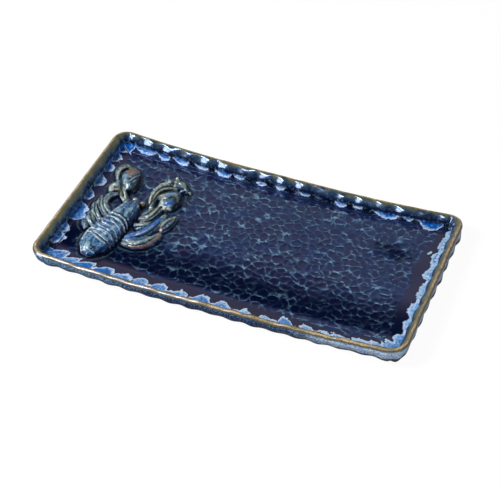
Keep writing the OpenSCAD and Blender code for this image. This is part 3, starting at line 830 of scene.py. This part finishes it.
def make_tray(relief):
    """The hammered floor slab and the pinched rim round it."""
    rim, rim_section = wall_rings()
    top, top_values = floor_rings(rim_section[0], relief)
    under = underside_rings()
    drip, cobalt = drip_fronts()

    slab = np.concatenate([top, under])
    values = {key: np.concatenate([field, np.ones(under.shape[:2])]) for key, field in top_values.items()}
    values["under"] = np.concatenate([np.zeros(top.shape[:2]), np.ones(under.shape[:2])])
    rim_values = {"section": rim_section}
    for fields in (values, rim_values):
        fields["drip"], fields["cobalt"] = with_drops(fields["section"], drip, cobalt)
    add_piece(ring_mesh("tray_floor", slab, values), floor_glaze(), ["base_slab"])
    add_piece(ring_mesh("tray_rim", rim, rim_values, closed=True), rim_glaze(), RIM_NODES)


# Lobster


def evaluated_mesh(piece):
    """The mesh of a piece with its modifiers applied."""
    graph = bpy.context.evaluated_depsgraph_get()
    return bpy.data.meshes.new_from_object(piece.evaluated_get(graph), depsgraph=graph)


def clay_mesh(node):
    """A softened, fuller and slightly uneven copy of a CAD piece, pressed a little into the floor."""
    draft = add_object(node + "_draft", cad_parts[node].data.copy())
    remesh = draft.modifiers.new("remesh", "REMESH")
    remesh.mode = "VOXEL"
    remesh.voxel_size = CLAY_VOXEL
    soften = draft.modifiers.new("soften", "SMOOTH")
    soften.factor = SOFTEN_FACTOR
    soften.iterations = SOFTEN_PASSES
    mesh = evaluated_mesh(draft)
    mesh.name = node + "_clay"
    bpy.data.objects.remove(draft)
    fullness = CLAY_FULLNESS if node in BODY_NODES + EYE_NODES else LIMB_FULLNESS
    normals = [vertex.normal.copy() for vertex in mesh.vertices]
    for vertex, normal in zip(mesh.vertices, normals):
        lump = noise.noise(vertex.co / CLAY_LUMP)
        above = vertex.co.z - FLOOR_THICKNESS - float(rise_at(vertex.co.x))
        vertex.co += normal * (fullness + CLAY_UNEVEN * lump)
        if above < CLAY_FOOT:
            vertex.co.z -= CLAY_SINK
    work_strokes(mesh)
    mesh.shade_smooth()
    return mesh


def seen_at(points):
    """Where points show in the photograph, in pixels."""
    axes, eye = camera_pose()
    right, up, back = np.array(axes)
    offset = points - np.array(eye)
    scale = CAMERA_LENS / CAMERA_SENSOR * PHOTO_SIZE / -(offset @ back)
    return PHOTO_SIZE / 2 + np.stack([offset @ right, -(offset @ up)], 1) * scale[:, None]


def stroke_share(seen, path, half_width):
    """How fully a stroke covers points of the picture, from 0 to 1."""
    path = np.array(path) / ZOOM + ZOOM_CORNER
    nearest = np.full(len(seen), np.inf)
    for start, end in zip(path, path[1:]):
        run = end - start
        share = np.clip((seen - start) @ run / (run @ run), 0, 1)
        nearest = np.minimum(nearest, np.linalg.norm(seen - start - share[:, None] * run, axis=1))
    return np.exp(-((nearest / half_width) ** 2))


def work_strokes(mesh):
    """Works the strokes into a piece: ridges and grooves in its clay, and values that its glaze follows."""
    count = len(mesh.vertices)
    points = np.zeros(count * 3)
    mesh.vertices.foreach_get("co", points)
    points = points.reshape(-1, 3)
    normals = np.array([vertex.normal for vertex in mesh.vertices])
    seen = seen_at(points)
    cover = {kind: np.zeros(count) for kind in STROKE_LIFT}
    for kind, half_width, *path in STROKES:
        cover[kind] = np.maximum(cover[kind], stroke_share(seen, path, half_width))
    lift = sum(STROKE_LIFT[kind] * share for kind, share in cover.items())
    mesh.vertices.foreach_set("co", (points + normals * lift[:, None]).ravel())
    add_values(mesh, cover)
    mesh.update()


def relief_tree(meshes):
    """Search tree of the points where the lobster's pieces meet the floor."""
    low = []
    for mesh in meshes.values():
        for vertex in mesh.vertices:
            if vertex.co.z - float(rise_at(vertex.co.x)) < FLOOR_THICKNESS + OUTLINE_HEIGHT:
                low.append((vertex.co.x, vertex.co.y))
    return search_tree(low)


def make_lobster():
    """Every piece of the lobster as glazed clay. Gives back the search tree of its outline on the floor."""
    groups = {
        "body_glaze": BODY_NODES, "claw_glaze": CLAW_NODES, "leg_glaze": LEG_NODES, "eye_glaze": EYE_NODES,
    }
    meshes = {node: clay_mesh(node) for nodes in groups.values() for node in nodes}
    for slot, nodes in groups.items():
        material = relief_glaze(slot)
        for node in nodes:
            add_piece(meshes[node], material, [node])
    return relief_tree(meshes)


# Glazes


# Grains are sizes of noise. Swings are how far noise moves something, in millimetres, and for CURVE_SWING in
# the measure of curving. Rows of numbers are spans for Nodes.between, over millimetres or values from 0 to 1:
# from, to, and what comes out before and after. Those with a size in front are for Shader.clouds.

# Drips
FOAM_GRAIN = 3.0 * MM
MOTTLE_GRAIN = 6.0 * MM
CRYSTAL_GRAIN = 1.3 * MM
PUFF_GRAIN = 3.4 * MM
PUFF_MIDDLE = 0.6
PUFF_SWING = 3.6
WALL_SWING = 9.0
DRIP_SWING = 3.4
FOAM_SWING = 7.0
RAGGED_SWING = 1.6
PALE_DEPTH = (3, 9)
COBALT_DEPTH = (1, 4.5)
FOAM_DEPTH = (0.3, 4.2)
DRIP_EDGE = (-0.2, 0.5)
DRIP_TOP = (11, 15)
# Floor: darker front, tints, net of ridges with painted glints, and the outline of the lobster with painted
# shade
DARKENING_GRAIN = 30 * MM
DARKENING_SWING = 30.0
DARKENING_BACK = (-48, -20, 1, 0)
DARKENING_FRONT = (-70, -64)
PURPLE_CLOUDS = (0.4, 0.62, 0, 0.8)
BAND_TINT = (0, 0.6, 0.8, 0)
DISH_TINT = 0.7
HALO_CLOUDS = (7 * MM, 0.36, 0.62, 0.3, 1)
HALO_WIDTH = (0, 2.2, 0.7, 0)
HALO_DARKENED = (0, 1, 1, 0.2)
NET_PATCHES = (11 * MM, 0.38, 0.6)
NET_CLOUDS = (3.5 * MM, 0.36, 0.58)
PAINTED_GLINT_FACING = (0, 0.9, 0.15, 0.95)
NET_WIDTH = (0, 0.9, 1, 0)
NET_DARKENED = (0, 1, 1, 0.5)
CONTACT_SHADE_WIDTH = (0.5, 2.6, 1, 0)
LINE_START = (2.2, 3.2)
LINE_END = (3.4, 4.8, 1, 0)
LINE_CLOUDS = (9 * MM, 0.35, 0.65, 0.05, 0.75)
FLOOR_ROUGHNESS = (0.2, 0.8, 0.13, 0.8)
# Rim: lip, inner wall and outer wall
HONEY_CLOUDS = (14 * MM, 0.4, 0.62, 0, 0.6)
LIP_SWING = 3.0
LIP_CROWN = (-0.05, 0.05)
SPECKS = (1.3 * MM, 0.56, 0.66)
SPECK_REACH = (2, 4.5, 0.8, 0)
LEFT_THICKER = (-180, -160, 2, 1)
BACK_THINNER = (84, 98, 0, 1.8)
STREAK_GRAIN = 9 * MM
STREAK_SWING = 12.0
WALL_CLOUDS = (0.52, 0.68)
WALL_CLOUD_TOP = (2.5, 6.5)
WALL_CLOUD_SHARE = 0.7
INNER_LIP = (-0.2, 1.8)
INNER_FOOT = (17, 20.5)
BAND_GRAIN = 26 * MM
BAND_SWING = 160.0
OUTER_GRAIN = 1.4 * MM
DEEP_START = (-110, -50)
PALE_START = (50, 120)
UNDER_LIP_END = (3.5, 6, 0.6, 0)
OUTER_FOOT = (12, 16, 0, 0.9)
OUTER_LIP = (0.8, 2.2)
BAND_TOP = (2.8, 3.8)
# Lobster: tones with painted top light, wash, strokes, edges and painted shade in hollows by how far the clay
# curves
RELIEF_GRAIN = 3.6 * MM
FINE_GRAIN = 2.0 * MM
TONE_STEPS = (0.1, 0.4, 0.65, 0.95)
PAINTED_TOP_LIGHT = (0.1, 0.9, 0, 0.4)
CLOUD_TONE = (0.32, 0.68, 0, 0.6)
WASH_CLOUDS = (5.5 * MM, 0.46, 0.56, 0, 0.85)
WASH_TONE = (0.2, 0.9, 1, 0.4)
STROKE_CLOUDS = (0.34, 0.54, 0.3, 1)
EDGE_CLOUDS = (0.36, 0.54, 0.2, 1)
EDGE_CURVE = (0.52, 0.58)
HOLLOW_SHADE_CURVE = (0.42, 0.48, 1, 0)
CURVE_SWING = 0.06
BUMP_GRAIN = 1.8 * MM
BUMP_DEPTH = 0.75 * MM


class TrayShader(Shader):
    """A glaze of the tray, with the values that its floor and its rim share."""

    def __init__(self, name):
        super().__init__(name)
        self.section = self.in_mm(self.attribute("section"))
        self.foam = self.noise(FOAM_GRAIN, detail=5.0, rough=0.7)
        self.mottle = self.noise(MOTTLE_GRAIN, detail=4.0, rough=0.6)
        self.wall_at = self.math("ADD", self.section, self.swing(self.mottle, WALL_SWING))

    def billow(self, size):
        """Values that swell in round puffs about as large as size: 0 at their edges, 1 in the middle."""
        puffs = self.node("ShaderNodeTexVoronoi", {"Vector": self.place(), "Scale": 1 / size})
        return self.math("SUBTRACT", 1.0, puffs.outputs["Distance"])

    def with_drips(self, base):
        """Lays the drips over a colour: pale foam at their edge, cobalt or pale blue inside."""
        puffs = self.product(self.math("SUBTRACT", self.billow(PUFF_GRAIN), PUFF_MIDDLE), PUFF_SWING)
        waver = self.swing(self.mottle, DRIP_SWING)
        crystals = self.noise(CRYSTAL_GRAIN, detail=2.0)
        front = self.math("ADD", self.in_mm(self.attribute("drip")), self.math("ADD", puffs, waver))
        depth = self.math("SUBTRACT", front, self.section)
        pale = self.cover(PALE_BLUE, SKY_BLUE, depth, PALE_DEPTH)
        for tint, span in PALE_CRYSTALS:
            pale = self.cover(pale, tint, self.foam, span)
        blue = COBALT
        for tint, span in COBALT_CRYSTALS:
            blue = self.cover(blue, tint, self.foam, span)
        share = self.product(self.attribute("cobalt"), self.between(depth, *COBALT_DEPTH))
        core = self.mix(share, pale, blue)
        edge = self.math("SUBTRACT", depth, self.swing(crystals, FOAM_SWING))
        drip = self.cover(FOAM, core, edge, FOAM_DEPTH)
        ragged = self.math("ADD", depth, self.swing(crystals, RAGGED_SWING))
        covered = self.product(self.between(ragged, *DRIP_EDGE), self.between(self.wall_at, *DRIP_TOP))
        return self.mix(covered, base, drip)


def floor_glaze():
    """Slate navy that breaks teal on the ridges between hammer marks, with painted glints and painted shade
    spots, darker along the front.
    """
    glaze = TrayShader("floor_glaze")
    marked = glaze.attribute("marked")
    # Darker towards the front, and darkest at the painted shade spots
    far = glaze.in_mm(glaze.axis(glaze.place(), "Y"))
    cloud = glaze.noise(DARKENING_GRAIN)
    waver = glaze.math("ADD", far, glaze.swing(cloud, DARKENING_SWING))
    darkened = glaze.product(glaze.between(waver, *DARKENING_BACK), glaze.between(far, *DARKENING_FRONT))
    darkened = glaze.math("MAXIMUM", darkened, glaze.attribute("painted_shade_spot"))
    base = glaze.cover(SLATE, PURPLE, cloud, PURPLE_CLOUDS)
    base = glaze.cover(base, BAND_PURPLE, marked, BAND_TINT)
    base = glaze.mix(glaze.product(glaze.attribute("tone"), marked, DISH_TINT), base, DISH_PURPLE)
    base = glaze.mix(darkened, base, NAVY)

    gap = glaze.in_mm(glaze.attribute("ridge_gap"))
    soft = glaze.clouds(*HALO_CLOUDS)
    halo = glaze.product(glaze.between(gap, *HALO_WIDTH), marked, soft)
    base = glaze.mix(glaze.product(halo, glaze.between(darkened, *HALO_DARKENED)), base, HALO_BLUE)
    patchy = glaze.clouds(*NET_PATCHES)
    thin = glaze.clouds(*NET_CLOUDS)
    # Ridges that run across the view are laid brighter: a painted glint
    facing = glaze.between(glaze.attribute("across"), *PAINTED_GLINT_FACING)
    net = glaze.product(glaze.between(gap, *NET_WIDTH), marked, patchy, thin, facing)
    base = glaze.mix(glaze.product(net, glaze.between(darkened, *NET_DARKENED)), base, TEAL)

    away = glaze.in_mm(glaze.attribute("relief_gap"))
    # Painted shade where the lobster meets the floor, then a pale line on the pressed-up flange
    base = glaze.cover(base, PAINTED_CONTACT_SHADE, away, CONTACT_SHADE_WIDTH)
    line = glaze.product(glaze.between(away, *LINE_START), glaze.between(away, *LINE_END))
    broken = glaze.clouds(*LINE_CLOUDS)
    base = glaze.mix(glaze.product(line, broken), base, FLANGE_TEAL)
    under = glaze.attribute("under")
    base = glaze.mix(under, glaze.with_drips(base), CLAY)
    return glaze.finish(base, glaze.between(under, *FLOOR_ROUGHNESS), gloss=0.56, tint=BLUE_GLOSS)


def inner_wall(glaze, honey, edge):
    """Olive that thins from the lip down to navy, thicker at the left and thinner at the back, with painted
    shade at the foot and drips.
    """
    thicker = glaze.between(glaze.in_mm(glaze.axis(glaze.place(), "X")), *LEFT_THICKER)
    thinner = glaze.between(glaze.in_mm(glaze.axis(glaze.place(), "Y")), *BACK_THINNER)
    down = glaze.math("SUBTRACT", glaze.wall_at, glaze.math("SUBTRACT", thicker, thinner))
    streaks = glaze.swing(glaze.noise(STREAK_GRAIN, detail=2.0), STREAK_SWING)
    inside = glaze.ramp(glaze.math("ADD", down, streaks), WALL_TONES)
    cloudy = glaze.product(glaze.between(glaze.foam, *WALL_CLOUDS), WALL_CLOUD_SHARE)
    cloudy = glaze.product(cloudy, glaze.between(glaze.section, *WALL_CLOUD_TOP))
    inside = glaze.mix(cloudy, inside, WALL_CLOUD)
    inside = glaze.cover(honey, inside, edge, INNER_LIP)
    return glaze.with_drips(glaze.cover(inside, SLATE, glaze.section, INNER_FOOT))


def outer_wall(glaze, honey, edge):
    """Mottled bands of pale and deep blue, dark under the lip and at the foot."""
    cloud = glaze.swing(glaze.noise(BAND_GRAIN, detail=2.0), BAND_SWING)
    along = glaze.math("ADD", glaze.in_mm(glaze.axis(glaze.place(), "X")), cloud)
    grain = glaze.noise(OUTER_GRAIN, detail=2.0, rough=0.6)
    grey, deep, pale = (glaze.cover(ground, crystal, grain, span) for ground, crystal, span in OUTER_BANDS)
    band = glaze.cover(grey, deep, along, DEEP_START)
    band = glaze.cover(band, pale, along, PALE_START)
    down = glaze.product(edge, -1.0)
    band = glaze.cover(band, UNDER_LIP, down, UNDER_LIP_END)
    band = glaze.cover(band, WALL_FOOT, glaze.product(glaze.wall_at, -1.0), OUTER_FOOT)
    outside = glaze.cover(honey, LIP_SHADE, down, OUTER_LIP)
    return glaze.cover(outside, band, down, BAND_TOP)


def rim_glaze():
    """Honey lip, olive thinning to navy and drips inside, mottled pale and deep blue outside."""
    glaze = TrayShader("rim_glaze")
    honey = glaze.mix(glaze.clouds(*HONEY_CLOUDS, detail=2.0), HONEY, OLIVE)
    edge = glaze.math("ADD", glaze.section, glaze.swing(glaze.foam, LIP_SWING))
    inside = inner_wall(glaze, honey, edge)
    outside = outer_wall(glaze, honey, edge)
    base = glaze.cover(outside, inside, glaze.section, LIP_CROWN)
    speck = glaze.clouds(*SPECKS, detail=1.0)
    near_lip = glaze.between(glaze.math("ABSOLUTE", glaze.section), *SPECK_REACH)
    base = glaze.mix(glaze.product(speck, near_lip), base, LIP_SPECK)
    return glaze.finish(base, roughness=0.16, gloss=0.9, tint=RIM_GLOSS)


def relief_glaze(name):
    """Mottled glaze from dark to pale tones, paler on top as painted light, with painted shade in hollows and
    grooves, palest over edges and as painted highlight on crests, washed in places.
    """
    tones, edge, wash, drawn_out = RELIEF_GLAZES[name]
    tones = [colour(*tone) for tone in tones]
    glaze = Shader(name)
    point = glaze.node("ShaderNodeNewGeometry").outputs
    stretched = glaze.node("ShaderNodeMapping", {"Vector": glaze.place(), "Scale": drawn_out})
    cloud = glaze.noise(RELIEF_GRAIN, stretched.outputs[0], detail=5.0, rough=0.65)
    fine = glaze.noise(FINE_GRAIN)
    # Tops are laid paler than sides: painted top light
    painted_top_light = glaze.between(glaze.axis(point["Normal"], "Z"), *PAINTED_TOP_LIGHT)
    mottle = glaze.math("ADD", painted_top_light, glaze.between(cloud, *CLOUD_TONE))
    tone = glaze.ramp(mottle, list(zip(TONE_STEPS, tones)))
    washed = glaze.clouds(*WASH_CLOUDS)
    tone = glaze.mix(glaze.product(washed, glaze.between(mottle, *WASH_TONE)), tone, colour(*wash))
    for kind, tint in STROKE_TINTS.items():
        share = glaze.product(glaze.attribute(kind), glaze.between(fine, *STROKE_CLOUDS))
        tone = glaze.mix(share, tone, tint)
    curved = glaze.math("ADD", point["Pointiness"], glaze.swing(fine, CURVE_SWING))
    # Pale where the glaze breaks over edges, and on crests partly as painted highlight
    crest_and_painted_highlight = glaze.math("MAXIMUM", glaze.between(curved, *EDGE_CURVE), glaze.attribute("crest_and_painted_highlight"))
    tone = glaze.mix(glaze.product(crest_and_painted_highlight, glaze.between(fine, *EDGE_CLOUDS)), tone, colour(*edge))
    # Painted shade in hollows and grooves
    hollow_shade = glaze.math("MAXIMUM", glaze.between(curved, *HOLLOW_SHADE_CURVE), glaze.attribute("groove_and_painted_shade"))
    tone = glaze.mix(hollow_shade, tone, HOLLOW_SHADE)
    glaze.bump(glaze.noise(BUMP_GRAIN), BUMP_DEPTH)
    return glaze.finish(tone, roughness=0.07, gloss=0.9, tint=RELIEF_GLOSS)


# Studio


def direction_basis(azimuth, elevation):
    """Right, up and backward axes of a camera that looks at the tray from these angles, in degrees."""
    turn, lift = math.radians(azimuth), math.radians(elevation)
    back = Vector((math.sin(turn) * math.cos(lift), -math.cos(turn) * math.cos(lift), math.sin(lift)))
    right = Vector((0, 0, 1)).cross(back).normalized()
    return right, back.cross(right), back


def camera_pose():
    """Axes and place of the camera."""
    right, up, back = direction_basis(CAMERA_AZIMUTH, CAMERA_ELEVATION)
    place = Vector((0, 0, RIM_HEIGHT)) + back * CAMERA_DISTANCE + right * CAMERA_SIDE + up * CAMERA_DROP
    return (right, up, back), place


def add_aimed(name, data, axes, place):
    """Puts a camera or a lamp in the scene, turned to these axes."""
    made = add_object(name, data)
    made.matrix_world = Matrix(axes).transposed().to_4x4()
    made.location = place
    return made


def place_camera():
    data = bpy.data.cameras.new("camera")
    data.lens = CAMERA_LENS
    data.sensor_width = CAMERA_SENSOR
    bpy.context.scene.camera = add_aimed("camera", data, *camera_pose())


def add_lamp(name, azimuth, elevation, size, power, mirrored):
    """A square lamp that faces the tray, from a direction given as the camera's is."""
    data = bpy.data.lights.new(name, "AREA")
    data.size = size
    data.energy = power
    axes = direction_basis(azimuth, elevation)
    lamp = add_aimed(name, data, axes, axes[2] * LAMP_DISTANCE)
    lamp.visible_glossy = mirrored
    lamp.visible_diffuse = not mirrored


def make_world():
    """White walls up to a height, and a dark ceiling that the lamps hang from."""
    world = bpy.data.worlds.new("studio")
    bpy.context.scene.world = world
    world.use_nodes = True
    nodes = Nodes(world.node_tree)
    direction = nodes.node("ShaderNodeTexCoord").outputs["Generated"]
    height = nodes.axis(direction, "Z")
    facing = nodes.node("ShaderNodeVectorMath", {0: direction, 1: BRIGHT_SIDE}, operation="DOT_PRODUCT")
    upper = nodes.product(nodes.between(height, *CEILING_LIGHT), nodes.between(height, *LOW_LIGHT))
    walls = nodes.between(facing.outputs["Value"], *WALL_LIGHT)
    light = {"Color": WHITE, "Strength": nodes.product(upper, walls)}
    nodes.fill(world.node_tree.nodes["Background"], light)


def make_table():
    """White table top that keeps a faint shadow of the tray, and has a painted shadow beneath it in what the
    glazes mirror.
    """
    mesh = bpy.data.meshes.new("table")
    corners = [(x * TABLE_HALF, y * TABLE_HALF, 0) for x, y in ((-1, -1), (1, -1), (1, 1), (-1, 1))]
    mesh.from_pydata(corners, [], [(0, 1, 2, 3)])
    table = add_object("table", mesh)
    shader = Shader("table_white")
    path = shader.node("ShaderNodeLightPath").outputs
    mirrored = shader.math("MAXIMUM", path["Is Glossy Ray"], path["Is Transmission Ray"])
    # Painted shadow of the tray, dark beneath it and fading out round it, seen only in what the glazes mirror
    beneath = []
    for axis, size in (("X", TRAY_LENGTH), ("Y", TRAY_WIDTH)):
        away = shader.math("ABSOLUTE", shader.axis(shader.place(), axis))
        beneath.append(shader.between(away, size / 2, size / 2 + TABLE_SHADE_REACH, 1.0, 0.0))
    shade = shader.between(shader.product(*beneath), 0.0, 1.0, TABLE_LIGHT, TABLE_SHADE)
    seen = shader.product(path["Is Camera Ray"], TABLE_LIGHT)
    light = shader.math("MAXIMUM", shader.product(mirrored, shade), seen)
    shader.fill(shader.surface, {"Emission Color": WHITE, "Emission Strength": light})
    mesh.materials.append(shader.finish(TABLE_GREY, roughness=1.0, gloss=0.0))


def make_studio():
    bpy.context.scene.view_settings.view_transform = "Standard"
    place_camera()
    make_world()
    make_table()
    for lamp in LAMPS:
        add_lamp(*lamp)


make_tray(make_lobster())
make_studio()
